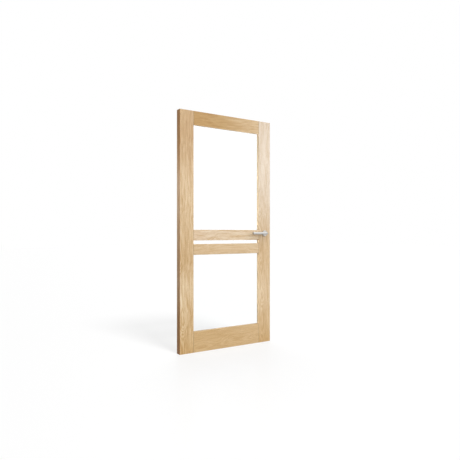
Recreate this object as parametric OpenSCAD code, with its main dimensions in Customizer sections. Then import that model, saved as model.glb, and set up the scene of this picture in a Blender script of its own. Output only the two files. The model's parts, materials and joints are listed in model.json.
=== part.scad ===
// Glazed interior door leaf: two stiles and four rails round three clear panes, with a lever
// handle on a round rose on each face and a sprung mortise latch in the lock edge.
// Millimetres. X runs across the leaf from hinge edge to lock edge, Y through it from front to
// back, Z up. The origin is the middle of the bottom edge.

/* [Leaf] */
// Width of the leaf
leaf_w = 930; // [780:1:1030]
// Height of the leaf
leaf_h = 2015; // [1950:1:2315]
// Thickness of the leaf
leaf_t = 54; // [50:1:68]
// Width of each stile
stile_w = 128; // [126:1:150]
// Height of the bottom rail
bottom_rail_h = 175; // [120:1:240]
// Height of the rail under the slot pane
lower_mid_rail_h = 90; // [86:1:120]
// Height of the rail over the slot pane
upper_mid_rail_h = 90; // [86:1:120]
// Height of the top rail
top_rail_h = 115; // [90:1:160]
// Width of the eased edge on the outer corners and round each pane
arris = 1; // [0.4:0.1:1.5]
// Depth of the fine groove along each joint of rail and stile
joint_groove = 0.6; // [0.3:0.1:0.8]

/* [Panes] */
// Height of the lower pane between its rails
lower_pane_h = 640; // [400:1:700]
// Height of the slot pane between its rails
slot_pane_h = 30; // [24:1:80]
// Thickness of the glass
glass_t = 6; // [4:0.5:10]
// Thickness of the solid lip in front of each pane
lip_t = 12; // [10:0.5:16]
// Width of the glazing rebate behind the lip
rebate_w = 22; // [18:0.5:23]
// Gap between the edge of the glass and the rebate
glass_gap = 3; // [2:0.5:4]
// Thickness of each glazing seal
seal_t = 3; // [2:0.5:4]
// Distance that each seal stops short of the sight line
seal_setback = 1; // [0.5:0.5:2]
// Length of a setting block
block_len = 40; // [20:1:60]
// Distance from the end of the glass to its setting block
block_inset = 80; // [40:1:120]

/* [Beads] */
// Depth of the straight foot of a bead beside the glass
bead_foot = 6; // [5:0.5:10]
// Width of a bead at the back face
bead_back_w = 4; // [3:0.5:8]
// Diameter of a bead pin
pin_d = 1.6; // [1.2:0.1:2]
// Length of a bead pin
pin_len = 35; // [30:1:37]
// Widest spacing of the bead pins
pin_pitch = 200; // [150:10:300]
// Distance from the end of a pane to its first bead pin
pin_end = 60; // [50:5:80]

/* [Dowels] */
// Diameter of a dowel
dowel_d = 10; // [8:1:11]
// Length of a dowel
dowel_len = 60; // [40:1:64]
// Distance from the solid edge of a rail to its first dowel
dowel_margin = 11; // [10:1:12]
// Dowels at each end of the bottom rail
bottom_rail_dowels = 3; // [2:1:4]

/* [Handle] */
// Height of the handle axis above the bottom edge
handle_height = 995; // [900:1:1100]
// Distance from the lock edge to the handle axis
backset = 65; // [60:1:66]
// Diameter of the lever bar
lever_d = 23.5; // [18:0.5:24]
// Length of the lever from its axis to its tip
lever_len = 160; // [120:1:175]
// Distance from the face of the leaf to the middle of the bar
lever_standoff = 46; // [45:1:65]
// Bend radius of the lever at the middle of the bar
lever_bend = 16; // [13:0.5:20]
// Width of the eased edge at the tip of the lever
lever_tip_edge = 1.2; // [0.5:0.1:3]
// Diameter of the rose
rose_d = 52; // [50:0.5:56]
// Height of the rose above the leaf
rose_h = 10; // [8:0.5:12]
// Radius of the edge of the rose
rose_edge = 2; // [1:0.5:3]
// Wall of the rose cover
rose_wall = 1.2; // [0.8:0.1:1.5]
// Side of the square spindle
spindle_side = 8; // [7:0.5:9]
// Depth of the spindle in each lever, from the face of the leaf
spindle_reach = 28; // [20:1:30]
// Diameter of the lever journal in its bush
journal_d = 18; // [16:0.5:18]
// Wall of the lever bush
bush_wall = 2; // [1:0.1:2.2]
// Thickness of the circlip that keeps the lever in its rose
circlip_t = 1.2; // [0.8:0.1:1.6]
// Diameter of the grub screw
grub_d = 6; // [4:0.5:6]
// Distance from the face of the leaf to the grub screw
grub_out = 17; // [16:0.5:20]
// Diameter of the circle that the rose screws stand on
rose_screw_circle = 36; // [32:0.5:38]
// Rose screws on each face
rose_screws = 4; // [2:1:4]
// Diameter of the wood screws
screw_d = 3.5; // [3:0.1:4]
// Diameter of the head of a wood screw
screw_head_d = 7; // [6:0.1:8]
// Length of a rose screw
rose_screw_len = 20; // [16:1:22]
// Width of the driver recess in the screws
recess_w = 0.9; // [0.6:0.1:1.2]
// Span of the cross recess in a wood screw
recess_span = 4; // [3:0.1:4.5]
// Depth of the cross recess in a wood screw
recess_depth = 1.5; // [1:0.1:2]
// Width across the flats of the socket in the grub screw
grub_socket = 3; // [2:0.5:3]

/* [Lock] */
// Length of the faceplate
faceplate_l = 170; // [150:1:235]
// Width of the faceplate
faceplate_w = 20; // [18:0.5:24]
// Thickness of the faceplate
faceplate_t = 3; // [2:0.5:4]
// Distance from the end of the faceplate to its screw
faceplate_screw_inset = 10; // [9:0.5:14]
// Length of a faceplate screw
faceplate_screw_len = 30; // [20:1:40]
// Height of the lock case
case_h = 110; // [100:1:120]
// Thickness of the lock case
case_t = 15; // [14:0.5:17]
// Sheet thickness of the lock case
case_wall = 1.5; // [1:0.1:2]
// Depth of the lock case behind the handle axis
case_behind = 25; // [24:0.5:26]
// Diameter of a post of the lock case
post_d = 7; // [6:0.5:8]
// Diameter of a cover screw
cover_screw_d = 3; // [2.5:0.1:3.5]
// Height of the latch bolt above the handle axis
latch_rise = 22; // [22:0.5:24]
// Height of the latch bolt head
latch_h = 18; // [14:0.5:20]
// Thickness of the latch bolt head
latch_t = 11; // [9:0.5:11]
// Length of the latch bolt head inside the leaf
latch_inside = 18; // [14:0.5:22]
// Distance that the latch bolt stands out of the lock edge
latch_throw = 11.5; // [9:0.5:12]
// Width of the flat nose of the latch bolt
latch_nose = 3.5; // [2:0.5:5]
// Diameter of the round tail of the latch bolt
tail_d = 5; // [4:0.5:6]
// Distance from the lock edge to the guide of the latch tail
guide_in = 42; // [40:0.5:43]
// Thickness of the guide of the latch tail
guide_t = 4; // [3:0.5:5]
// Radius of the follower hub
hub_r = 11; // [10:0.5:12]
// Radius of the follower journal
hub_journal_r = 8; // [7:0.5:8.5]
// Half width of the follower arms
arm_half = 5; // [4:0.5:5.5]
// Reach of the upper follower arm, which draws the latch
draw_arm = 20.5; // [19:0.5:20.5]
// Reach of the lower follower arm, which meets the return spring
return_arm = 18; // [16:0.5:20]
// Thickness of the follower arms
arm_t = 5; // [4:0.5:6]
// Wire diameter of the springs
wire_d = 1.2; // [0.8:0.1:1.4]
// Turns of each spring
spring_turns = 8; // [6:1:9]

/* [Hidden] */
$fn = 48;

// Clearances: fixed fits, turning and sliding fits, free room round moving pieces, and room
// in the pockets cut for the lock
fit = 0.03;
run = 0.05;
free = 0.3;
pocket = 0.5;

// Reach of a cutting tool past the face that it cuts
past = 2;

// Across the leaf and through it
half_w = leaf_w / 2;
front_y = -leaf_t / 2;
back_y = leaf_t / 2;
shoulder_x = half_w - stile_w;

// Rails and panes from the bottom up: pane i lies between rail i and rail i + 1
rail_heights = [bottom_rail_h, lower_mid_rail_h, upper_mid_rail_h, top_rail_h];
rail_dowel_counts = [bottom_rail_dowels, 2, 2, 2];
lower_mid_z = bottom_rail_h + lower_pane_h;
upper_mid_z = lower_mid_z + lower_mid_rail_h + slot_pane_h;
rail_zs = [0, lower_mid_z, upper_mid_z, leaf_h - top_rail_h];
last_rail = len(rail_zs) - 1;
LOWER = 0;
SLOT = 1;
UPPER = 2;
function rail_top(i) = rail_zs[i] + rail_heights[i];
function pane_low(i) = rail_top(i);
function pane_high(i) = rail_zs[i + 1];

// Depths of the glazing, from the front lip to the beads
lip_y = front_y + lip_t;
glass_y = lip_y + seal_t;
glass_back_y = glass_y + glass_t;
bead_y = glass_back_y + seal_t;
bead_depth = back_y - bead_y;
bead_pin_y = bead_y + bead_foot / 2;
glass_lap = rebate_w - glass_gap;

// Dowel holes are a little deeper than half a dowel
dowel_hole = dowel_len / 2 + 1;

// Handle: heights are measured outwards from the face of the leaf
axis_x = half_w - backset;
lever_r = lever_d / 2;
journal_r = journal_d / 2;
bush_r = journal_r + run + bush_wall;
rose_r = rose_d / 2;
rose_base_r = rose_r - rose_wall - 2 * fit;
rose_base_h = rose_h - rose_wall - free;
neck_foot = rose_base_h + free;
journal_tail = 2 * circlip_t + 1;
circlip_r = journal_r + 2.4;
circlip_groove = 0.8;
grub_len = lever_r - spindle_side / 2 - 0.4;
circlip_gap_deg = 60;
spindle_hole_r = circlip_r + 1.5;
socket_depth = spindle_reach + 2;
spindle_hole_side = spindle_side + 2 * fit;

// Lock: x is measured from the lock edge into the leaf, z from the handle axis
case_front = faceplate_t;
case_back = backset + case_behind;
case_inner_t = case_t - 2 * case_wall;
latch_window = 2 * free;
guide_h = 12;
tail_y_half = 2;
tail_low = draw_arm + 1;
tail_high = latch_rise + tail_d / 2 + 2.5;
tail_start = guide_in + guide_t + 1;
lug_t = 4;
lug_low = 13;
lug_x = backset + arm_half + free;
spring_gap = 0.3;
latch_coil_r = tail_d / 2 + 0.8 + wire_d / 2;
return_coil_r = 3;
return_coil_z = -(return_arm - return_coil_r - wire_d);
return_seat_x = 31;
return_seat_t = 4;
return_peg_r = 1.8;
return_peg_l = 8;
post_inset = post_d / 2 + case_wall + 0.5;
cover_screw_head_h = 0.9;
cover_screw_len = 10;
coil_sides = 6;
coil_steps = 14;

// Colours
oak = [0.83, 0.70, 0.53];
beech = [0.80, 0.64, 0.46];
clear_glass = [0.86, 0.92, 0.90, 0.35];
seal_tan = [0.72, 0.60, 0.46];
nylon = [0.93, 0.93, 0.90];
satin_steel = [0.76, 0.75, 0.73];
zinc = [0.66, 0.68, 0.70];
spring_steel = [0.45, 0.46, 0.48];

// General shapes

// A block between two corners
module block(low, high) {
    translate(low) cube(high - low);
}

// A polygon in the YZ plane, run along X from x0 to x1
module run_x(points, x0, x1) {
    translate([x0, 0, 0]) rotate([90, 0, 90]) linear_extrude(x1 - x0) polygon(points);
}

// A polygon in the XY plane, run along Z from z0 to z1
module run_z(points, z0, z1) {
    translate([0, 0, z0]) linear_extrude(z1 - z0) polygon(points);
}

// Corners of a rectangle with every corner cut off by c
function eased(x0, y0, x1, y1, c) = [
    [x0 + c, y0], [x1 - c, y0], [x1, y0 + c], [x1, y1 - c],
    [x1 - c, y1], [x0 + c, y1], [x0, y1 - c], [x0, y0 + c]
];

// A countersunk wood screw, head up at the origin, pointing down, grown by g
module wood_screw(length, g = 0) {
    r = screw_d / 2 + g;
    head = screw_head_d / 2 + g;
    rim = 0.4;
    tip = screw_d;
    rotate_extrude() polygon([
        [0, 0], [head, 0], [head, -rim], [r, -rim - head + r],
        [r, -length + tip], [0, -length - g]
    ]);
}

// The same screw with a cross recess in its head
module driven_screw(length) {
    difference() {
        wood_screw(length);
        for (turn = [0, 90]) rotate(turn) recess(recess_span, recess_depth);
    }
}

// A straight recess cut down from the origin
module recess(span, depth) {
    translate([-span / 2, -recess_w / 2, -depth]) cube([span, recess_w, depth + past]);
}

// A coil spring from the origin along +X
module coil(mid_r, length) {
    count = spring_turns * coil_steps;
    rise = (length - wire_d) / count;
    points = [
        for (i = [0:count], k = [0:coil_sides - 1])
            let (turn = 360 * i / coil_steps,
                 side = 360 * k / coil_sides,
                 out = mid_r + wire_d / 2 * cos(side))
                [wire_d / 2 + rise * i + wire_d / 2 * sin(side), out * cos(turn), out * sin(turn)]
    ];
    last = count * coil_sides;
    faces = concat(
        [[for (k = [0:coil_sides - 1]) k]],
        [
            for (i = [0:count - 1], k = [0:coil_sides - 1])
                let (a = i * coil_sides, n = (k + 1) % coil_sides)
                    [a + k, a + coil_sides + k, a + coil_sides + n, a + n]
        ],
        [[for (k = [coil_sides - 1:-1:0]) last + k]]
    );
    polyhedron(points, faces);
}

// Places

// From lock coordinates to the leaf: x from the lock edge inwards, z from the handle axis
module in_lock() {
    translate([half_w, 0, handle_height]) mirror([1, 0, 0]) children();
}

// At the handle on one face: z points out of the leaf, x across it
module at_handle(back = false) {
    if (back) mirror([0, 1, 0]) at_handle() children();
    else translate([axis_x, front_y, handle_height]) rotate([90, 0, 0]) children();
}

// One copy at each rose screw
module at_rose_screws() {
    for (i = [0:rose_screws - 1])
        rotate(45 + i * 360 / rose_screws)
            translate([rose_screw_circle / 2, 0, rose_base_h]) children();
}

// Cuts shared by the pieces of the leaf

// The leaf's outline with every outer edge eased
module leaf_outline() {
    intersection() {
        run_z(eased(-half_w, front_y, half_w, back_y, arris), 0, leaf_h);
        run_x(eased(front_y, 0, back_y, leaf_h, arris), -half_w, half_w);
    }
}

// Sight opening of a pane, its eased front edge and the rebate behind its lip
module pane_cut(i) {
    low = pane_low(i);
    high = pane_high(i);
    ease_y = front_y + 2 * arris;
    block([-shoulder_x, front_y - past, low], [shoulder_x, back_y + past, high]);
    block([-shoulder_x - rebate_w, lip_y, low - rebate_w],
          [shoulder_x + rebate_w, back_y + past, high + rebate_w]);
    intersection() {
        run_z([[-shoulder_x - arris, front_y], [shoulder_x + arris, front_y],
               [shoulder_x - arris, ease_y], [-shoulder_x + arris, ease_y]],
              low - past, high + past);
        run_x([[front_y, low - arris], [front_y, high + arris],
               [ease_y, high - arris], [ease_y, low + arris]],
              -half_w, half_w);
    }
}

// Fine grooves on both faces along the two joints of a rail
module joint_grooves(i) {
    side = joint_groove * sqrt(2);
    for (x = [-shoulder_x, shoulder_x], y = [front_y, back_y])
        translate([x, y, rail_zs[i] - past]) rotate(45)
            translate([-side / 2, -side / 2, 0]) cube([side, side, rail_heights[i] + 2 * past]);
}

// Heights of the dowels of a rail, spread over the part between its rebates
function dowel_zs(i) =
    let (low = rail_zs[i] + (i > 0 ? rebate_w : 0) + dowel_margin,
         high = rail_top(i) - (i < last_rail ? rebate_w : 0) - dowel_margin,
         last = rail_dowel_counts[i] - 1)
        [for (k = [0:last]) low + (high - low) * k / last];

// Dowels of a rail at the hinge side (-1) or the lock side (1), or the holes for them
module dowels(i, side, length = dowel_len, g = 0) {
    for (z = dowel_zs(i))
        translate([side * shoulder_x - length / 2, 0, z])
            rotate([0, 90, 0]) cylinder(d = dowel_d + 2 * g, h = length);
}

module dowel_holes(i, side) {
    dowels(i, side, 2 * dowel_hole, fit);
}

// Places along one side of a pane at which its bead is pinned
function pin_places(low, high) =
    let (room = high - low - 2 * pin_end,
         gaps = ceil(room / pin_pitch))
        room > 0 ? [for (k = [0:gaps]) low + pin_end + room * k / gaps] : [(low + high) / 2];

// Pins through the bead on one side of a pane, heads flush with the sight line
module pins(i, edge, g = 0) {
    low = pane_low(i);
    high = pane_high(i);
    if (edge == "bottom" || edge == "top")
        for (x = pin_places(-shoulder_x, shoulder_x))
            translate([x, bead_pin_y, edge == "top" ? high : low])
                mirror([0, 0, edge == "top" ? 0 : 1]) cylinder(d = pin_d + 2 * g, h = pin_len + g);
    if (edge == "left" || edge == "right")
        for (z = pin_places(low, high))
            translate([edge == "right" ? shoulder_x : -shoulder_x, bead_pin_y, z])
                rotate([0, edge == "right" ? 90 : -90, 0])
                    cylinder(d = pin_d + 2 * g, h = pin_len + g);
}

// Woodwork

// One length of the leaf between two corners, with the panes cut from it
module timber(x0, x1, z0, z1) {
    difference() {
        intersection() {
            leaf_outline();
            block([x0, front_y, z0], [x1, back_y, z1]);
        }
        for (i = [LOWER, SLOT, UPPER]) pane_cut(i);
        for (i = [0:last_rail]) joint_grooves(i);
    }
}

module hinge_stile() {
    color(oak) difference() {
        timber(-half_w, -shoulder_x, 0, leaf_h);
        for (i = [0:last_rail]) dowel_holes(i, -1);
        for (i = [LOWER, SLOT, UPPER]) pins(i, "left", fit);
    }
}

module lock_stile() {
    color(oak) difference() {
        timber(shoulder_x, half_w, 0, leaf_h);
        for (i = [0:last_rail]) dowel_holes(i, 1);
        for (i = [LOWER, SLOT, UPPER]) pins(i, "right", fit);
        in_lock() {
            block([case_front - past, -case_t / 2 - pocket, -case_h / 2 - pocket],
                  [case_back + pocket, case_t / 2 + pocket, case_h / 2 + pocket]);
            rotate([0, 90, 0]) translate([0, 0, -past])
                faceplate_outline(faceplate_t + past, 2 * fit);
            at_faceplate_screws() wood_screw(faceplate_screw_len, fit);
        }
        at_handle() spindle_hole();
        at_handle(true) spindle_hole();
    }
}

// Hole for the spindle and the rose screws, from one face into the mortise
module spindle_hole() {
    translate([0, 0, -leaf_t / 2]) cylinder(r = spindle_hole_r, h = leaf_t / 2 + past);
    at_rose_screws() wood_screw(rose_screw_len, fit);
}

module rail(i, beads) {
    color(oak) difference() {
        timber(-shoulder_x, shoulder_x, rail_zs[i], rail_top(i));
        for (side = [-1, 1]) dowel_holes(i, side);
        for (b = beads) pins(b[0], b[1], fit);
    }
}

module bottom_rail() {
    rail(0, [[LOWER, "bottom"]]);
}

module lower_mid_rail() {
    rail(1, [[LOWER, "top"], [SLOT, "bottom"]]);
}

module upper_mid_rail() {
    rail(2, [[SLOT, "top"], [UPPER, "bottom"]]);
}

module top_rail() {
    rail(last_rail, [[UPPER, "top"]]);
}

module rail_dowels() {
    color(beech) for (i = [0:last_rail], side = [-1, 1]) dowels(i, side);
}

// Glazing

// Outline of a pane grown past the sight line by g, between two depths
module pane_block(i, g, y0, y1) {
    block([-shoulder_x - g, y0, pane_low(i) - g], [shoulder_x + g, y1, pane_high(i) + g]);
}

module glass(i) {
    color(clear_glass) pane_block(i, glass_lap, glass_y, glass_back_y);
}

// Flat ring between the lip or the beads and the glass
module seal(i, y) {
    color(seal_tan) difference() {
        pane_block(i, glass_lap, y, y + seal_t);
        pane_block(i, seal_setback, y - past, y + seal_t + past);
    }
}

module setting_blocks() {
    end = shoulder_x + glass_lap - block_inset;
    color(nylon) for (i = [LOWER, SLOT, UPPER], x = [-end, end - block_len])
        block([x, glass_y, pane_low(i) - rebate_w],
              [x + block_len, glass_back_y, pane_low(i) - glass_lap]);
}

// A mitred bead along +X on a rebate wall at z = 0, with length measured along the wall
module bead_length(length) {
    intersection() {
        run_x([[bead_y, 0], [back_y, 0], [back_y, bead_back_w],
               [bead_y + bead_foot, rebate_w], [bead_y, rebate_w]], 0, length);
        translate([0, back_y + past, 0]) rotate([90, 0, 0]) linear_extrude(leaf_t + 2 * past)
            polygon([[0, 0], [length, 0], [length - rebate_w, rebate_w], [rebate_w, rebate_w]]);
    }
}

module bead(i, edge) {
    wall_x = shoulder_x + rebate_w;
    low = pane_low(i) - rebate_w;
    high = pane_high(i) + rebate_w;
    color(oak) difference() {
        if (edge == "bottom") translate([-wall_x, 0, low]) bead_length(2 * wall_x);
        else if (edge == "top") translate([wall_x, 0, high]) rotate([0, 180, 0]) bead_length(2 * wall_x);
        else if (edge == "left") translate([-wall_x, 0, high]) rotate([0, 90, 0]) bead_length(high - low);
        else translate([wall_x, 0, low]) rotate([0, -90, 0]) bead_length(high - low);
        pins(i, edge, fit);
    }
}

module bead_pins() {
    color(zinc) for (i = [LOWER, SLOT, UPPER], edge = ["bottom", "top", "left", "right"]) pins(i, edge);
}

// Lock

// Faceplate outline with round ends, run along z by h and grown by g
module faceplate_outline(h, g = 0) {
    r = faceplate_w / 2 + g;
    end = faceplate_l / 2 - faceplate_w / 2;
    block([-end, -r, 0], [end, r, h]);
    for (x = [-end, end]) translate([x, 0, 0]) cylinder(r = r, h = h);
}

module at_faceplate_screws() {
    for (z = [-1, 1] * (faceplate_l / 2 - faceplate_screw_inset))
        translate([0, 0, z]) rotate([0, -90, 0]) children();
}

module lock_faceplate() {
    color(satin_steel) in_lock() difference() {
        rotate([0, 90, 0]) faceplate_outline(faceplate_t);
        latch_way(-past, faceplate_t + past);
        at_faceplate_screws() wood_screw(faceplate_screw_len, fit);
    }
}

module faceplate_screws() {
    color(zinc) in_lock() at_faceplate_screws() driven_screw(faceplate_screw_len);
}

// Clear way for the latch head between two depths
module latch_way(x0, x1) {
    block([x0, -latch_t / 2 - free, latch_rise - latch_h / 2 - free],
          [x1, latch_t / 2 + free, latch_rise + latch_h / 2 + free]);
}

// One copy at each post of the lock case
module at_posts() {
    for (x = [case_front + post_inset, case_back - post_inset],
         z = [-1, 1] * (case_h / 2 - post_inset))
        translate([x, 0, z]) rotate([90, 0, 0]) children();
}

// Pressed tray of the lock with its posts, the guide of the latch tail and the spring seat
module lock_case() {
    inner = case_inner_t / 2;
    color(zinc) in_lock() difference() {
        union() {
            difference() {
                block([case_front, -inner, -case_h / 2], [case_back, case_t / 2, case_h / 2]);
                block([case_front + case_wall, -inner - past, -case_h / 2 + case_wall],
                      [case_back - case_wall, inner, case_h / 2 - case_wall]);
            }
            at_posts() translate([0, 0, -inner]) cylinder(d = post_d, h = 2 * inner);
            block([guide_in, -inner, latch_rise - guide_h / 2],
                  [guide_in + guide_t, inner, latch_rise + guide_h / 2]);
            block([return_seat_x - return_seat_t, -inner, return_coil_z - guide_h / 2],
                  [return_seat_x, inner, return_coil_z + guide_h / 2]);
            translate([return_seat_x, 0, return_coil_z]) rotate([0, 90, 0])
                cylinder(r = return_peg_r, h = return_peg_l);
        }
        latch_way(case_front - past, case_front + case_wall + past);
        translate([guide_in - past, 0, latch_rise]) rotate([0, 90, 0])
            cylinder(r = tail_d / 2 + run, h = guide_t + 2 * past);
        hub_hole();
        at_posts() translate([0, 0, inner - cover_screw_len])
            cylinder(d = cover_screw_d + 2 * fit, h = cover_screw_len + past);
    }
}

module lock_cover() {
    inner = case_inner_t / 2;
    color(zinc) in_lock() difference() {
        block([case_front, -case_t / 2, -case_h / 2], [case_back, -inner, case_h / 2]);
        hub_hole();
        at_posts() cover_screw(fit);
    }
}

// Bearing hole for the follower through both walls of the case
module hub_hole() {
    translate([backset, case_t / 2 + past, 0]) rotate([90, 0, 0])
        cylinder(r = hub_journal_r + run, h = case_t + 2 * past);
}

// A cover screw in its post, flush with the outside of the cover, grown by g
module cover_screw(g = 0) {
    top = case_t / 2;
    r = cover_screw_d / 2 + g;
    rotate_extrude() polygon([
        [0, top], [r + cover_screw_head_h, top], [r, top - cover_screw_head_h],
        [r, top - cover_screw_len], [0, top - cover_screw_len]
    ]);
}

module cover_screws() {
    slot_depth = cover_screw_head_h * 2 / 3;
    color(zinc) in_lock() at_posts() difference() {
        cover_screw();
        translate([0, 0, case_t / 2]) recess(cover_screw_d + 2 * cover_screw_head_h + past, slot_depth);
    }
}

// Bevelled head, round tail and the strip and lug that the follower draws
module latch_bolt() {
    half = latch_t / 2;
    color(satin_steel) in_lock() {
        run_z([[-latch_throw, half], [-latch_throw, half - latch_nose], [0, -half],
               [latch_inside, -half], [latch_inside, half]],
              latch_rise - latch_h / 2, latch_rise + latch_h / 2);
        translate([latch_inside - past, 0, latch_rise]) rotate([0, 90, 0])
            cylinder(d = tail_d, h = tail_start + past - latch_inside + past);
        block([tail_start, -tail_y_half, tail_low], [lug_x + lug_t, tail_y_half, tail_high]);
        block([lug_x, -tail_y_half, lug_low], [lug_x + lug_t, tail_y_half, tail_low + 1]);
    }
}

module latch_spring() {
    color(spring_steel) in_lock()
        translate([latch_inside + spring_gap, 0, latch_rise])
            coil(latch_coil_r, guide_in - latch_inside - 2 * spring_gap);
}

// Hub with a square hole, journals in the case and one arm up and one down
module follower() {
    half = case_inner_t / 2 - free;
    color(zinc) in_lock() translate([backset, 0, 0]) difference() {
        union() {
            rotate([90, 0, 0]) translate([0, 0, -half]) cylinder(r = hub_r, h = 2 * half);
            rotate([90, 0, 0]) translate([0, 0, -case_t / 2]) cylinder(r = hub_journal_r, h = case_t);
            block([-arm_half, -arm_t / 2, 0], [arm_half, arm_t / 2, draw_arm]);
            block([-arm_half, -arm_t / 2, -return_arm], [arm_half, arm_t / 2, 0]);
        }
        spindle_bar(case_t + 2 * past, spindle_hole_side);
    }
}

module return_spring() {
    color(spring_steel) in_lock()
        translate([return_seat_x + spring_gap, 0, return_coil_z])
            coil(return_coil_r, backset - arm_half - return_seat_x - 2 * spring_gap);
}

// Handle

// A square bar along Y, centred on the origin
module spindle_bar(length, side) {
    translate([-side / 2, -length / 2, -side / 2]) cube([side, length, side]);
}

module spindle() {
    color(zinc) in_lock() translate([backset, 0, 0])
        spindle_bar(leaf_t + 2 * spindle_reach, spindle_side);
}

// Lever of round bar: journal and neck outwards, a quarter bend, and the bar to the hinge side
module lever() {
    bend_z = lever_standoff - lever_bend;
    difference() {
        union() {
            translate([0, 0, -journal_tail]) cylinder(r = journal_r, h = journal_tail + neck_foot);
            translate([0, 0, neck_foot]) cylinder(r = lever_r, h = bend_z - neck_foot);
            translate([-lever_bend, 0, bend_z]) rotate([90, 0, 0])
                rotate_extrude(angle = 90) translate([lever_bend, 0]) circle(r = lever_r);
            translate([-lever_bend, 0, lever_standoff]) rotate([0, -90, 0])
                rotate_extrude() polygon([
                    [0, 0], [lever_r, 0], [lever_r, lever_len - lever_bend - lever_tip_edge],
                    [lever_r - lever_tip_edge, lever_len - lever_bend], [0, lever_len - lever_bend]
                ]);
        }
        translate([-spindle_hole_side / 2, -spindle_hole_side / 2, -journal_tail - past])
            cube([spindle_hole_side, spindle_hole_side, journal_tail + past + socket_depth]);
        grub_screw(past, fit);
        circlip_ring(journal_r + past, 360, fit);
    }
}

// Grub screw from the underside of the neck to the spindle, reaching out by extra
module grub_screw(extra = 0, g = 0) {
    translate([0, -spindle_side / 2, grub_out]) rotate([90, 0, 0])
        cylinder(d = grub_d + 2 * g, h = grub_len + extra);
}

// The same screw with a hexagon socket in its outer end
module socket_screw() {
    difference() {
        grub_screw();
        translate([0, -spindle_side / 2 - grub_len / 2, grub_out]) rotate([90, 0, 0])
            cylinder(d = grub_socket / cos(30), h = grub_len, $fn = 6);
    }
}

// Ring in the groove at the inner end of the journal, just behind the face of the leaf
module circlip_ring(outer_r, angle, g = 0) {
    inner = journal_r - circlip_groove + fit - g;
    rotate_extrude(angle = angle) polygon([
        [inner, -free - circlip_t - g], [outer_r, -free - circlip_t - g],
        [outer_r, -free + g], [inner, -free + g]
    ]);
}

module lever_bush() {
    difference() {
        cylinder(r = bush_r, h = rose_base_h);
        translate([0, 0, -past]) cylinder(r = journal_r + run, h = rose_base_h + 2 * past);
    }
}

// Ring under the rose cover, eased to clear the rolled edge of the cover
module rose_base() {
    hole = bush_r + fit;
    difference() {
        rotate_extrude() polygon([
            [hole, 0], [rose_base_r, 0], [rose_base_r, rose_base_h - rose_edge],
            [rose_base_r - rose_edge, rose_base_h], [hole, rose_base_h]
        ]);
        at_rose_screws() wood_screw(rose_screw_len, fit);
    }
}

// Pressed dish with a rolled edge and a hole for the neck
module rose_cover() {
    hole = lever_r + free;
    rotate_extrude() polygon(concat(
        [[hole, rose_h]],
        [for (a = [90:-15:0]) [rose_r - rose_edge * (1 - cos(a)), rose_h - rose_edge * (1 - sin(a))]],
        [[rose_r, 0], [rose_r - rose_wall, 0], [rose_r - rose_wall, rose_h - rose_edge],
         [rose_r - rose_edge, rose_h - rose_wall], [hole, rose_h - rose_wall]]
    ));
}

module front_lever() { color(satin_steel) at_handle() lever(); }
module back_lever() { color(satin_steel) at_handle(true) lever(); }
module front_grub_screw() { color(spring_steel) at_handle() socket_screw(); }
module back_grub_screw() { color(spring_steel) at_handle(true) socket_screw(); }
module front_circlip() { color(spring_steel) at_handle() circlip_ring(circlip_r, 360 - circlip_gap_deg); }
module back_circlip() { color(spring_steel) at_handle(true) circlip_ring(circlip_r, 360 - circlip_gap_deg); }
module front_lever_bush() { color(nylon) at_handle() lever_bush(); }
module back_lever_bush() { color(nylon) at_handle(true) lever_bush(); }
module front_rose_base() { color(nylon) at_handle() rose_base(); }
module back_rose_base() { color(nylon) at_handle(true) rose_base(); }
module front_rose_cover() { color(satin_steel) at_handle() rose_cover(); }
module back_rose_cover() { color(satin_steel) at_handle(true) rose_cover(); }
module front_rose_screws() { color(zinc) at_handle() at_rose_screws() driven_screw(rose_screw_len); }
module back_rose_screws() { color(zinc) at_handle(true) at_rose_screws() driven_screw(rose_screw_len); }

hinge_stile();
lock_stile();
bottom_rail();
lower_mid_rail();
upper_mid_rail();
top_rail();
rail_dowels();
glass(LOWER);  // lower_glass
glass(SLOT);  // slot_glass
glass(UPPER);  // upper_glass
seal(LOWER, lip_y);  // lower_front_seal
seal(LOWER, glass_back_y);  // lower_back_seal
seal(SLOT, lip_y);  // slot_front_seal
seal(SLOT, glass_back_y);  // slot_back_seal
seal(UPPER, lip_y);  // upper_front_seal
seal(UPPER, glass_back_y);  // upper_back_seal
setting_blocks();
bead(LOWER, "bottom");  // lower_bead_bottom
bead(LOWER, "top");  // lower_bead_top
bead(LOWER, "left");  // lower_bead_left
bead(LOWER, "right");  // lower_bead_right
bead(SLOT, "bottom");  // slot_bead_bottom
bead(SLOT, "top");  // slot_bead_top
bead(SLOT, "left");  // slot_bead_left
bead(SLOT, "right");  // slot_bead_right
bead(UPPER, "bottom");  // upper_bead_bottom
bead(UPPER, "top");  // upper_bead_top
bead(UPPER, "left");  // upper_bead_left
bead(UPPER, "right");  // upper_bead_right
bead_pins();
lock_faceplate();
faceplate_screws();
lock_case();
lock_cover();
cover_screws();
latch_bolt();
latch_spring();
follower();
return_spring();
spindle();
front_lever();
back_lever();
front_grub_screw();
back_grub_screw();
front_circlip();
back_circlip();
front_lever_bush();
back_lever_bush();
front_rose_base();
back_rose_base();
front_rose_cover();
back_rose_cover();
front_rose_screws();
back_rose_screws();
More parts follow.
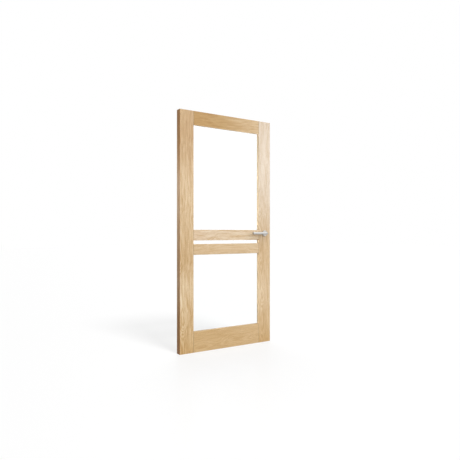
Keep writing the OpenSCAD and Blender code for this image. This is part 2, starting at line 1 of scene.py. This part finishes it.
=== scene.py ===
import json
import math
import bpy
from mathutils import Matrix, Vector


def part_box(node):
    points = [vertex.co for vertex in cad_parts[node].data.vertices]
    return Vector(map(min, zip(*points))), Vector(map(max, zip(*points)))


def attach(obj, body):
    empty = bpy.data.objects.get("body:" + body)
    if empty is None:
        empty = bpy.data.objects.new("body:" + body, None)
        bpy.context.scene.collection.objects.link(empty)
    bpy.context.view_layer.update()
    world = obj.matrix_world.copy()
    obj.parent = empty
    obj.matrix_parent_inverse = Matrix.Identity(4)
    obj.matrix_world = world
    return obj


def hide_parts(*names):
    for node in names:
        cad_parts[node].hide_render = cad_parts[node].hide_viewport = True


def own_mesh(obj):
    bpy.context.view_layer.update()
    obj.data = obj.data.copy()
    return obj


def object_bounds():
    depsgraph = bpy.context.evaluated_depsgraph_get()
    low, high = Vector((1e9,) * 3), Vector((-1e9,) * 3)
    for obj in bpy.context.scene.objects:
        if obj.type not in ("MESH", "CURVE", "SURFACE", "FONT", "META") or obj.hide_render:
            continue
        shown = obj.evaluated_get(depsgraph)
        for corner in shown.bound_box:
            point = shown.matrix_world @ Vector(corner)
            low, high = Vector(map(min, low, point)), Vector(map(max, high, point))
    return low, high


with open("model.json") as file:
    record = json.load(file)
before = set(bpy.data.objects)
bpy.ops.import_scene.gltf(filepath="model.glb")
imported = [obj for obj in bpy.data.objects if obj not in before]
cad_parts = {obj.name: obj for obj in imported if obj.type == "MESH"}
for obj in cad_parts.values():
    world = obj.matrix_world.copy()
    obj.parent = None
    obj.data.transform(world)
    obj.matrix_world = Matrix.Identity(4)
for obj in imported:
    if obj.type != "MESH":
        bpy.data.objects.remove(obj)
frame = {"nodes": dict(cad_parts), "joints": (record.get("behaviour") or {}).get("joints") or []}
nodes = frame["nodes"]
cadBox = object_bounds()
panes = ("lower", "slot", "upper")
print("frame loaded with", len(nodes), "nodes")


# Colours

def linearColour(red, green, blue):  # from 0..255 screen values
    def channel(value):
        value = value / 255
        return value / 12.92 if value <= 0.04045 else ((value + 0.055) / 1.055) ** 2.4
    return (channel(red), channel(green), channel(blue), 1.0)


def shaded(colour, factor):  # the same colour, darker or paler
    return tuple(min(1.0, part * factor) for part in colour[:3]) + (1.0,)


def grey(level):
    return (level, level, level, 1.0)


# Node building

def feed(tree, node, inputs):  # links sockets of other nodes and sets plain values
    for key, value in inputs.items():
        if isinstance(value, bpy.types.NodeSocket):
            tree.links.new(value, node.inputs[key])
        else:
            node.inputs[key].default_value = value


def addNode(tree, kind, settings=None, inputs=None):
    made = tree.nodes.new(kind)
    for key, value in (settings or {}).items():
        setattr(made, key, value)
    feed(tree, made, inputs or {})
    return made


def emptyMaterial(name):
    material = bpy.data.materials.new(name)
    material.use_nodes = True
    material.node_tree.nodes.clear()
    return material, material.node_tree


def showSurface(tree, surface):
    addNode(tree, "ShaderNodeOutputMaterial", inputs={"Surface": surface})


def newMaterial(name):
    material, tree = emptyMaterial(name)
    shader = tree.nodes.new("ShaderNodeBsdfPrincipled")
    showSurface(tree, shader.outputs["BSDF"])
    return material, tree, shader


def mapped(tree, vector, place=(0, 0, 0), turn=(0, 0, 0), size=(1, 1, 1)):
    mapping = addNode(tree, "ShaderNodeMapping", inputs={
        "Vector": vector, "Location": place, "Rotation": turn, "Scale": size})
    return mapping.outputs["Vector"]


def objectCoordinates(tree, place=(0, 0, 0), turn=(0, 0, 0), size=(1, 1, 1)):
    coordinates = tree.nodes.new("ShaderNodeTexCoord")
    return mapped(tree, coordinates.outputs["Object"], place, turn, size)


def noise(tree, vector, scale, detail=2.0, roughness=0.5):
    made = addNode(tree, "ShaderNodeTexNoise", inputs={
        "Vector": vector, "Scale": scale, "Detail": detail, "Roughness": roughness})
    return made.outputs["Fac"]


def maths(tree, operation, first, second):
    made = addNode(tree, "ShaderNodeMath", {"operation": operation}, {0: first, 1: second})
    return made.outputs["Value"]


def vectorMaths(tree, operation, *parts):
    return addNode(tree, "ShaderNodeVectorMath", {"operation": operation},
                   dict(enumerate(parts))).outputs


def weighted(tree, *parts):  # sum of values, each times its share
    total = 0.0
    for value, share in parts:
        total = maths(tree, "ADD", maths(tree, "MULTIPLY", value, share), total)
    return total


def spread(tree, value, low, high, newLow=0.0, newHigh=1.0):  # maps low..high to newLow..newHigh
    made = addNode(tree, "ShaderNodeMapRange", inputs={
        "Value": value, "From Min": low, "From Max": high, "To Min": newLow, "To Max": newHigh})
    return made.outputs["Result"]


def ramp(tree, value, stops):
    made = addNode(tree, "ShaderNodeValToRGB", inputs={"Fac": value})
    elements = made.color_ramp.elements
    while len(elements) < len(stops):
        elements.new(0.5)
    for element, (place, colour) in zip(elements, stops):
        element.position = place
        element.color = colour
    return made.outputs["Color"]


def toneRamp(tree, value, tonesWithPaintedLight):
    return ramp(tree, value, [(reach, tone + (1.0,)) for reach, tone in tonesWithPaintedLight])


def mixColour(tree, blend, amount, first, second):
    made = addNode(tree, "ShaderNodeMix", {"data_type": "RGBA", "blend_type": blend}, {
        0: amount, 6: first, 7: second})  # 6 and 7 are the node's colour sockets
    return made.outputs[2]


def mixShaders(tree, amount, first, second):
    made = addNode(tree, "ShaderNodeMixShader", inputs={0: amount, 1: first, 2: second})
    return made.outputs["Shader"]


def bump(tree, height, depth, strength):
    made = addNode(tree, "ShaderNodeBump", inputs={
        "Height": height, "Distance": depth, "Strength": strength})
    return made.outputs["Normal"]


def dress(names, material):
    for name in names:
        mesh = nodes[name].data
        mesh.materials.clear()
        mesh.materials.append(material)


# Oak: growth rings cut at a slant, broad bands, long streaks, pores and pale flecks

oak = {
    "dark": (188, 149, 96),
    "middle": (213, 182, 137),
    "light": (228, 204, 165),
    "tonePlaces": (0.36, 0.50, 0.64),   # figure at which the three tones above stand
    "slant": (2.4, 1.6),                # degrees between the grain and the edges of the board
    "waver": 0.08,                      # metres that the grain strays sideways
    "waverScale": 7.0,
    "waverStretch": (0.45, 0.45, 0.35),
    # each with its scale, stretch along the grain, detail and roughness
    "bands": (30.0, 0.08, 2.0, 0.5),
    "streaks": (95.0, 0.062, 5.0, 0.6),
    "fine": (620.0, 0.018, 3.0, 0.6),
    "pores": (1500.0, 0.018, 1.0, 0.5),
    "rings": {"Scale": 64.0, "Distortion": 4.0, "Detail": 2.0, "Detail Scale": 0.9,
              "Detail Roughness": 0.5},  # about 5 mm apart
    "ringStretch": 0.06,
    "shares": {"bands": 0.22, "streaks": 0.52, "rings": 0.11, "fine": 0.15},  # in the figure
    "pore": (142, 103, 60),
    "poreSpan": (0.60, 0.70),
    "ringSpan": (0.2, 0.8),
    "poreShare": (0.65, 0.15),          # in early and in late wood
    "fleck": (170, 150, 120),
    "fleckScale": 150.0,
    "fleckStretch": (1, 0.35, 0.22),
    "fleckSpan": (0.66, 0.74),
    "fleckShare": 0.30,
    "lippingAndShade": [(0.0, (0.65, 0.42, 0.19)), (0.6, (0.88, 0.85, 0.94)),
                (1.0, (0.82, 0.69, 0.64))],  # tones of the leaf's long edges from the floor up: a darker edge tone with painted shade, darkest near the floor
    "lippingAndShadeDepth": 0.0012,
    "jointLine": (0.50, 0.49, 0.51),    # tone of the last part of a rail beside the stile
    "jointWidth": 0.0025,
    "sheenSpan": (0.3, 0.7),
    "roughness": (0.32, 0.44),
    "gloss": 0.30,
    "fineRelief": 0.5,
    "grainDepth": 0.00025,
    "grainStrength": 0.5,
}
slantX, slantY = (math.radians(angle) for angle in oak["slant"])
grainTurn = {"up": (slantX, slantY, 0), "across": (slantX, math.radians(90) + slantY, 0)}
lengthAxis = {"up": "Z", "across": "X"}
leafSpan = {
    "up": (cadBox[0].z, cadBox[1].z),
    "across": (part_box("hinge_stile")[0].x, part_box("lock_stile")[1].x),
}
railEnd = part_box("top_rail")[1].x


def grainNoise(tree, flow, scale, stretch, detail, roughness):
    return noise(tree, mapped(tree, flow, size=(1, 1, stretch)), scale, detail, roughness)


def oakMaterial(name, way, place, contrast, tonesWithPaintedLight):
    material, tree, shader = newMaterial(name)
    board = objectCoordinates(tree, place, grainTurn[way])
    waver = noise(tree, mapped(tree, board, size=oak["waverStretch"]), oak["waverScale"], 1.0)
    strays = (oak["waver"], oak["waver"], 0.0)
    flow = vectorMaths(tree, "MULTIPLY_ADD", waver, strays, board)["Vector"]
    grain = {kind: grainNoise(tree, flow, *oak[kind])
             for kind in ("bands", "streaks", "fine", "pores")}
    grain["rings"] = addNode(
        tree, "ShaderNodeTexWave", {"wave_type": "RINGS", "rings_direction": "Z"},
        {"Vector": mapped(tree, flow, size=(1, 1, oak["ringStretch"])), **oak["rings"]},
    ).outputs["Fac"]
    figure = weighted(tree, *((grain[kind], share) for kind, share in oak["shares"].items()))
    figure = spread(tree, figure, 0.0, 1.0, 0.5 - contrast / 2, 0.5 + contrast / 2)
    colours = [linearColour(*oak[shade]) for shade in ("dark", "middle", "light")]
    wood = ramp(tree, figure, list(zip(oak["tonePlaces"], colours)))
    pores = spread(tree, grain["pores"], *oak["poreSpan"])
    openWood = spread(tree, grain["rings"], *oak["ringSpan"], *oak["poreShare"])
    wood = mixColour(tree, "MIX", maths(tree, "MULTIPLY", pores, openWood), wood,
                     linearColour(*oak["pore"]))
    flecks = noise(tree, mapped(tree, board, size=oak["fleckStretch"]), oak["fleckScale"], 1.0)
    flecks = spread(tree, flecks, *oak["fleckSpan"], 0.0, oak["fleckShare"])
    wood = mixColour(tree, "SCREEN", flecks, wood, linearColour(*oak["fleck"]))
    inLeaf = addNode(tree, "ShaderNodeSeparateXYZ", inputs={"Vector": objectCoordinates(tree)})
    along = spread(tree, inLeaf.outputs[lengthAxis[way]], *leafSpan[way])
    # tone along the piece: the board's own tone with painted shade and painted sheen
    wood = mixColour(tree, "MULTIPLY", 1.0, wood, toneRamp(tree, along, tonesWithPaintedLight))
    # the outer strip of each long edge takes its darker tone with painted shade; the ends of a
    # rail take a dark joint line
    if way == "up":
        edgeStart = leafSpan["across"][1] - oak["lippingAndShadeDepth"]
        edgeTone = toneRamp(tree, along, oak["lippingAndShade"])
    else:
        edgeStart = railEnd - oak["jointWidth"]
        edgeTone = oak["jointLine"] + (1.0,)
    outwards = maths(tree, "ABSOLUTE", inLeaf.outputs["X"], 0.0)
    atEdge = maths(tree, "GREATER_THAN", outwards, edgeStart)
    wood = mixColour(tree, "MULTIPLY", atEdge, wood, edgeTone)
    relief = maths(tree, "SUBTRACT",
                   maths(tree, "MULTIPLY", grain["fine"], oak["fineRelief"]), pores)
    feed(tree, shader, {
        "Base Color": wood,
        "Roughness": spread(tree, grain["fine"], *oak["sheenSpan"], *oak["roughness"]),
        "Specular IOR Level": oak["gloss"],
        "Normal": bump(tree, relief, oak["grainDepth"], oak["grainStrength"])})
    return material


# way of the grain, place in the log in metres, contrast, tones along the piece from its low end:
# the board's own tone together with painted shade and a painted sheen, paler and bluer where the
# lacquer catches light
boards = {
    "hinge_stile": ("up", (0.40, 0.055, 0.3), 1.15, [
        (0.0, (0.945, 0.86, 0.70)), (0.27, (1.20, 1.29, 1.48)), (0.37, (1.00, 0.97, 0.94)),
        (0.72, (1.09, 1.11, 1.17)), (0.88, (0.87, 0.78, 0.66))]),
    "lock_stile": ("up", (-0.42, 0.065, 1.7), 0.78, [
        (0.0, (0.93, 0.85, 0.71)), (0.22, (1.15, 1.22, 1.41)), (0.42, (1.02, 1.02, 1.06)),
        (0.70, (1.02, 1.15, 1.52)), (1.0, (0.82, 0.86, 1.00))]),
    "top_rail": ("across", (-1.82, 0.12, 0.4), 0.8, [
        (0.15, (0.775, 0.655, 0.455)), (0.43, (0.82, 0.735, 0.575)),
        (0.85, (1.09, 1.13, 1.25))]),
    "upper_mid_rail": ("across", (-0.93, 0.15, 2.1), 1.0, [
        (0.0, (1.05, 1.07, 1.24)), (0.4, (1.10, 1.18, 1.43)), (1.0, (1.07, 1.11, 1.25))]),
    "lower_mid_rail": ("across", (-0.79, 0.11, 3.2), 0.65, [
        (0.0, (0.98, 0.98, 1.01)), (1.0, (1.12, 1.18, 1.34))]),
    "bottom_rail": ("across", (-0.09, 0.06, 5.3), 0.46, [
        (0.0, (0.98, 0.94, 0.85)), (0.52, (0.97, 0.93, 0.86)), (1.0, (1.05, 1.05, 1.06))]),
}
beadTones = [(0.0, (1.0, 0.99, 0.98)), (1.0, (1.0, 0.99, 0.98))]
beads = {  # the same, and the sides of each pane
    "upright": ("up", (0.2, 0.1, 7.0), 1.0, beadTones, ("left", "right")),
    "level": ("across", (-0.6, 0.1, 8.0), 1.0, beadTones, ("bottom", "top")),
}
for piece, cut in boards.items():
    dress([piece], oakMaterial("oak_" + piece, *cut))
for kind, (*cut, sides) in beads.items():
    dress([pane + "_bead_" + side for pane in panes for side in sides],
          oakMaterial("oak_" + kind + "_beads", *cut))
print("oak boards and beads dressed")


# Beech dowels

beech = {
    "dark": (196, 158, 118),
    "light": (218, 184, 146),
    "toneSpan": (0.3, 0.7),
    "streakScale": 300.0,
    "streakDetail": 4.0,
    "stretch": 0.05,
    "roughness": 0.7,
    "grainDepth": 0.0002,
    "grainStrength": 0.4,
}


def beechMaterial():
    material, tree, shader = newMaterial("beech")
    streaks = noise(tree, objectCoordinates(tree, size=(beech["stretch"], 1, 1)),
                    beech["streakScale"], beech["streakDetail"])
    colours = (linearColour(*beech["dark"]), linearColour(*beech["light"]))
    feed(tree, shader, {
        "Base Color": ramp(tree, streaks, list(zip(beech["toneSpan"], colours))),
        "Roughness": beech["roughness"],
        "Normal": bump(tree, streaks, beech["grainDepth"], beech["grainStrength"])})
    return material


dress(["rail_dowels"], beechMaterial())
print("dowels dressed")


# Glass and the strips and blocks that hold it

glazing = {
    "tint": (254, 255, 255),
    "shade": (196, 198, 197),  # of the light that falls through a pane
    "ior": 1.5,
}
moulded = {
    "glazing_strip": {"colour": (204, 180, 146), "roughness": 0.7, "skinScale": 1800.0},
    "natural_nylon": {"colour": (232, 231, 224), "roughness": 0.5, "skinScale": 2500.0},
}
mouldedSkin = {
    "cloudScale": 40.0,
    "cloudDetail": 3.0,
    "darker": 0.86,
    "span": (0.3, 0.7),
    "roughnessSwing": 0.06,
    "depth": 0.00005,
    "strength": 0.5,
}


def glassMaterial():
    material, tree = emptyMaterial("clear_glass")
    glass = addNode(tree, "ShaderNodeBsdfPrincipled", inputs={
        "Base Color": linearColour(*glazing["tint"]), "Transmission Weight": 1.0,
        "Roughness": 0.0, "IOR": glazing["ior"]})
    shade = addNode(tree, "ShaderNodeBsdfTransparent", inputs={
        "Color": linearColour(*glazing["shade"])})
    rays = tree.nodes.new("ShaderNodeLightPath").outputs
    lighting = maths(tree, "MAXIMUM", rays["Is Shadow Ray"], rays["Is Diffuse Ray"])
    showSurface(tree, mixShaders(tree, lighting, glass.outputs["BSDF"], shade.outputs["BSDF"]))
    return material


def mouldedMaterial(name):  # plastic or rubber with a fine moulded skin
    material, tree, shader = newMaterial(name)
    stuff = moulded[name]
    place = objectCoordinates(tree)
    cloud = noise(tree, place, mouldedSkin["cloudScale"], mouldedSkin["cloudDetail"])
    skin = noise(tree, place, stuff["skinScale"])
    colour = linearColour(*stuff["colour"])
    colours = (shaded(colour, mouldedSkin["darker"]), colour)
    swing = mouldedSkin["roughnessSwing"]
    feed(tree, shader, {
        "Base Color": ramp(tree, cloud, list(zip(mouldedSkin["span"], colours))),
        "Roughness": spread(tree, skin, *mouldedSkin["span"],
                            stuff["roughness"] - swing, stuff["roughness"] + swing),
        "Normal": bump(tree, skin, mouldedSkin["depth"], mouldedSkin["strength"])})
    return material


dress([pane + "_glass" for pane in panes], glassMaterial())
dress([pane + side for pane in panes for side in ("_front_seal", "_back_seal")],
      mouldedMaterial("glazing_strip"))
dress(["setting_blocks", "front_lever_bush", "back_lever_bush", "front_rose_base",
       "back_rose_base"], mouldedMaterial("natural_nylon"))
print("glass, strips and blocks dressed")


# Metals: satin steel with fine brushing, plated steel and spring steel

metals = {
    "satin": {"colour": (177, 176, 174), "roughness": (0.26, 0.38), "lines": 2600.0},
    "plated": {"colour": (186, 190, 196), "roughness": (0.22, 0.40), "lines": 900.0},
    "spring": {"colour": (132, 134, 140), "roughness": (0.28, 0.45), "lines": 1500.0},
}
brushing = {
    "detail": 3.0,
    "lineRoughness": 0.6,
    "darker": 0.9,
    "paler": 1.08,
    "toneSpan": (0.25, 0.75),
    "smudgeScale": 60.0,
    "shares": (0.6, 0.4),       # of brushing and smudges in the roughness
    "roughnessSpan": (0.3, 0.7),
    "depth": 0.00003,
    "strength": 0.4,
}
metalPieces = {  # metal, stretch of its brushing or None for rings round the lever's axis, pieces
    "satin_rose": ("satin", None, ["front_rose_cover", "back_rose_cover"]),
    "satin_bar": ("satin", (0.03, 1, 1), ["front_lever", "back_lever"]),
    "satin_plate": ("satin", (1, 1, 0.03), ["lock_faceplate", "latch_bolt"]),
    "plated_steel": ("plated", (1, 1, 0.2), [
        "bead_pins", "faceplate_screws", "lock_case", "lock_cover", "cover_screws", "follower",
        "spindle", "front_rose_screws", "back_rose_screws"]),
    "spring_steel": ("spring", (1, 1, 1), [
        "latch_spring", "return_spring", "front_grub_screw", "back_grub_screw", "front_circlip",
        "back_circlip"]),
}
turnAxis = frame["joints"][0]["pos_m"]


def metalMaterial(name, finish, stretch):
    material, tree, shader = newMaterial(name)
    if stretch:
        place = objectCoordinates(tree, size=stretch)
        brushed = noise(tree, place, finish["lines"], brushing["detail"],
                        brushing["lineRoughness"])
    else:
        place = objectCoordinates(tree, place=(-turnAxis[0], 0, -turnAxis[2]))
        flat = vectorMaths(tree, "MULTIPLY", place, (1, 0, 1))["Vector"]
        radius = vectorMaths(tree, "LENGTH", flat)["Value"]
        brushed = addNode(tree, "ShaderNodeTexNoise", {"noise_dimensions": "1D"}, {
            "W": radius, "Scale": finish["lines"], "Detail": brushing["detail"]}).outputs["Fac"]
    smudge = noise(tree, objectCoordinates(tree), brushing["smudgeScale"])
    worn = weighted(tree, *zip((brushed, smudge), brushing["shares"]))
    colour = linearColour(*finish["colour"])
    colours = (shaded(colour, brushing["darker"]), shaded(colour, brushing["paler"]))
    feed(tree, shader, {
        "Base Color": ramp(tree, brushed, list(zip(brushing["toneSpan"], colours))),
        "Roughness": spread(tree, worn, *brushing["roughnessSpan"], *finish["roughness"]),
        "Metallic": 1.0,
        "Normal": bump(tree, brushed, brushing["depth"], brushing["strength"])})
    return material


for name, (metal, stretch, pieces) in metalPieces.items():
    dress(pieces, metalMaterial(name, metals[metal], stretch))
print("metals dressed")


# Lock springs: coils of wire in place of the springs' solids

springs = {  # wire and turns as in the lock, the end that stays put, and the length that is left
    "latch_spring": {
        "wire": 0.0012, "turns": 8, "joint": "latch_slide", "fixedEnd": 0, "keep": 0.46},
    "return_spring": {
        "wire": 0.0012, "turns": 8, "joint": "lever_turn", "fixedEnd": 1, "keep": 0.65},
}
coilMesh = {
    "turnSteps": 28,
    "wireSides": 12,
    "mergeDistance": 0.000001,
    "smoothAngle": 40,          # degrees
}


def coilPiece(name, spring):
    low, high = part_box(name)
    middle = (low + high) / 2
    wireRadius = spring["wire"] / 2
    coilRadius = (high.y - low.y) / 2 - wireRadius
    start = Vector((low.x + wireRadius, middle.y, middle.z))
    bpy.ops.object.select_all(action="DESELECT")
    bpy.ops.mesh.primitive_circle_add(
        vertices=coilMesh["wireSides"], radius=wireRadius, location=start)
    coil = bpy.context.object
    coil.name = name + "_coil"
    coil.data.name = coil.name
    # section of the wire, upright and out at the radius of the coil
    bpy.ops.object.mode_set(mode="EDIT")
    bpy.ops.mesh.select_all(action="SELECT")
    bpy.ops.transform.rotate(value=math.radians(90), orient_axis="X", center_override=start)
    bpy.ops.transform.translate(value=(0, 0, coilRadius))
    bpy.ops.object.mode_set(mode="OBJECT")
    turned = coil.modifiers.new("turns", "SCREW")
    turned.axis = "X"
    turned.angle = math.radians(360)
    turned.iterations = spring["turns"]
    turned.screw_offset = (high.x - low.x - spring["wire"]) / spring["turns"]
    turned.steps = turned.render_steps = coilMesh["turnSteps"]
    bpy.ops.object.modifier_apply(modifier=turned.name)
    bpy.ops.object.transform_apply(location=True, rotation=True, scale=True)
    bpy.ops.object.mode_set(mode="EDIT")
    bpy.ops.mesh.select_all(action="SELECT")
    bpy.ops.mesh.remove_doubles(threshold=coilMesh["mergeDistance"])
    bpy.ops.mesh.fill_holes(sides=0)  # cut ends of the wire
    bpy.ops.mesh.normals_make_consistent(inside=False)
    bpy.ops.object.mode_set(mode="OBJECT")
    bpy.ops.object.shade_smooth_by_angle(angle=math.radians(coilMesh["smoothAngle"]))
    coil.data.materials.append(bpy.data.materials["spring_steel"])
    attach(coil, "leaf")
    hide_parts(name)
    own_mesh(coil)
    return coil


coils = [coilPiece(name, spring) for name, spring in springs.items()]
print("lock springs coiled")


# Floor and light

stageSet = {
    "floorSize": 60.0,
    "floorGlow": 0.735,         # share of the white floor that is not shaded
    "floorPaint": 0.21,         # share that takes shadows
    "floorBounce": 0.27,        # what the floor throws back on the door
    "floorGloss": 0.04,
    "floorGlossRoughness": 0.30,
    "ambient": 0.30,
    "boxSpread": 110.0,         # degrees
}
darkSide = {  # unlit end of the studio
    "direction": (-0.453, 0.891, 0.0),
    "span": (0.55, 0.95),
    "level": 0.08,
}
suns = {  # strength, direction, softness in degrees
    "key": (1.35, (-0.03, 0.743, -0.669), 75.0),
    "front": (1.36, (-0.25, 0.80, -0.55), 100.0),
    "rim": (0.55, (-0.204, -0.404, -0.891), 28.0),
    # these two light the floor alone, for a clear shadow
    "ground": (2.8, (-0.03, 0.629, -0.777), 16.0),
    "groundRim": (1.1, (-0.204, -0.404, -0.891), 28.0),
}
softboxes = {  # place, what it faces, width and height in metres, brightness, seen only as a sheen
    "sheen": ((2.7, -2.8, 2.45), (0.4, 0.0, 1.6), (1.4, 1.7), 7.5, True),
    "edge": ((-1.6, 0.15, 1.40), (-0.46, 0.0, 1.40), (0.5, 0.5), 2.4, False),
    "reveals": ((-2.6, -0.12, 0.92), (0.34, -0.02, 0.92), (0.12, 0.4), 145.0, False),
    "beads": ((-2.6, 0.14, 0.92), (0.34, 0.01, 0.92), (0.12, 0.4), 180.0, False),
    "under": ((0.0, -0.10, 0.3), (0.0, -0.02, 1.9), (0.8, 0.1), 34.0, False),
    "strips": ((-2.2, -3.3, 1.1), (0.34, 0.0, 1.0), (2.0, 2.0), 16.0, False),
    "upperStrips": ((-2.2, -3.3, 1.1), (0.34, 0.0, 1.5), (2.0, 2.0), 10.0, False),
    "behind": ((1.6, 3.2, 2.2), (0.0, 0.0, 1.0), (1.6, 1.6), 2.2, False),
}


def litSide(tree, direction):  # 1 in most of the studio, less towards its dark side
    towards = vectorMaths(tree, "DOT_PRODUCT", direction, darkSide["direction"])["Value"]
    return spread(tree, towards, *darkSide["span"], 1.0, darkSide["level"])


# 1 for rays that look, 0 for rays that light, less for gloss on the dark side
def raySwitch(tree, direction):
    rays = tree.nodes.new("ShaderNodeLightPath").outputs
    gloss = maths(tree, "MULTIPLY", rays["Is Glossy Ray"], litSide(tree, direction))
    looks = maths(tree, "MAXIMUM", rays["Is Camera Ray"], rays["Is Transmission Ray"])
    return maths(tree, "MAXIMUM", gloss, looks)


def floorMaterial():
    material, tree = emptyMaterial("pale_floor")
    glow = addNode(tree, "ShaderNodeEmission", inputs={
        "Color": grey(1.0), "Strength": stageSet["floorGlow"]})
    paint = addNode(tree, "ShaderNodeBsdfDiffuse", inputs={
        "Color": grey(stageSet["floorPaint"])})
    shown = addNode(tree, "ShaderNodeAddShader", inputs={
        0: glow.outputs["Emission"], 1: paint.outputs["BSDF"]}).outputs["Shader"]
    gloss = addNode(tree, "ShaderNodeBsdfGlossy", inputs={
        "Color": grey(1.0), "Roughness": stageSet["floorGlossRoughness"]})
    shown = mixShaders(tree, stageSet["floorGloss"], shown, gloss.outputs["BSDF"])
    bounce = addNode(tree, "ShaderNodeBsdfDiffuse", inputs={
        "Color": grey(stageSet["floorBounce"])})
    outwards = vectorMaths(tree, "NORMALIZE", objectCoordinates(tree))["Vector"]
    showSurface(tree, mixShaders(tree, raySwitch(tree, outwards), bounce.outputs["BSDF"], shown))
    return material


bpy.ops.object.select_all(action="DESELECT")
bpy.ops.mesh.primitive_plane_add(size=stageSet["floorSize"], location=(0, 0, 0))
floor = bpy.context.object
floor.name = "floor"
floor.data.materials.append(floorMaterial())

world = bpy.data.worlds.new("studio")
bpy.context.scene.world = world
world.use_nodes = True
sky = world.node_tree
sky.nodes.clear()
skyDirection = sky.nodes.new("ShaderNodeTexCoord").outputs["Generated"]
ambient = addNode(sky, "ShaderNodeBackground", inputs={
    "Color": grey(1.0),
    "Strength": maths(sky, "MULTIPLY", litSide(sky, skyDirection), stageSet["ambient"])})
backdrop = addNode(sky, "ShaderNodeBackground", inputs={"Color": grey(1.0), "Strength": 1.0})
addNode(sky, "ShaderNodeOutputWorld", inputs={
    "Surface": mixShaders(sky, raySwitch(sky, skyDirection), ambient.outputs["Background"],
                          backdrop.outputs["Background"])})


def lightGroup(name, pieces, others=()):  # what a lamp lights
    group = bpy.data.collections.new(name)
    for member in [nodes[piece] for piece in pieces] + list(others):
        group.objects.link(member)
    return group


seals = [piece for piece in nodes if "_seal" in piece]
upperSeals = ["upper_front_seal", "upper_back_seal"]
frameSides = [piece for piece in boards if piece != "hinge_stile"]
frameSides += [piece for piece in nodes if "_bead_" in piece] + seals
doorPieces = lightGroup("door_pieces", nodes, coils)
floorOnly = lightGroup("floor_only", [], [floor])
insideFrame = lightGroup("inside_of_frame", frameSides)
lightGroups = {  # the other lamps light the whole door
    "ground": floorOnly,
    "groundRim": floorOnly,
    "sheen": lightGroup("lacquered", [piece for piece in boards if piece != "top_rail"]),
    "reveals": insideFrame,
    "beads": insideFrame,
    "strips": lightGroup("glazing_strips", seals),
    "upperStrips": lightGroup("upper_strips", upperSeals),
    "under": lightGroup("under_top_rail", ["top_rail", "upper_bead_top"] + upperSeals),
}


def hangLamp(lampData, direction, place=(0, 0, 0)):
    lamp = bpy.data.objects.new(lampData.name, lampData)
    lamp.location = place
    lamp.rotation_euler = Vector(direction).to_track_quat("-Z", "Y").to_euler()
    lamp.light_linking.receiver_collection = lightGroups.get(lampData.name, doorPieces)
    bpy.context.scene.collection.objects.link(lamp)
    return lamp


for name, (strength, direction, softness) in suns.items():
    sunData = bpy.data.lights.new(name, "SUN")
    sunData.energy = strength
    sunData.angle = math.radians(softness)
    hangLamp(sunData, direction)
for name, (place, target, size, brightness, onlySheen) in softboxes.items():
    boxData = bpy.data.lights.new(name, "AREA")
    boxData.shape = "RECTANGLE"
    boxData.size, boxData.size_y = size
    boxData.energy = brightness * math.pi * size[0] * size[1]
    boxData.spread = math.radians(stageSet["boxSpread"])
    box = hangLamp(boxData, Vector(target) - Vector(place), place)
    box.visible_camera = False
    box.visible_transmission = False
    box.visible_diffuse = not onlySheen
print("floor and light set")


# Camera

photoCamera = {
    "frame": 460,               # pixels
    "focal": 470.6,             # pixels
    "horizonRow": 232.89,
    "turn": -33.04,             # degrees
    "place": (-2.219, -3.476, 0.9984),
    "sensor": 36.0,
}
cameraData = bpy.data.cameras.new("photo_camera")
cameraData.sensor_width = photoCamera["sensor"]
cameraData.lens = photoCamera["focal"] / photoCamera["frame"] * photoCamera["sensor"]
cameraData.shift_y = (photoCamera["horizonRow"] - photoCamera["frame"] / 2) / photoCamera["frame"]
camera = bpy.data.objects.new("photo_camera", cameraData)
camera.location = photoCamera["place"]
camera.rotation_euler = (math.radians(90), 0, math.radians(photoCamera["turn"]))
bpy.context.scene.collection.objects.link(camera)
bpy.context.scene.camera = camera
bpy.context.scene.view_settings.view_transform = "Standard"
print("camera set")
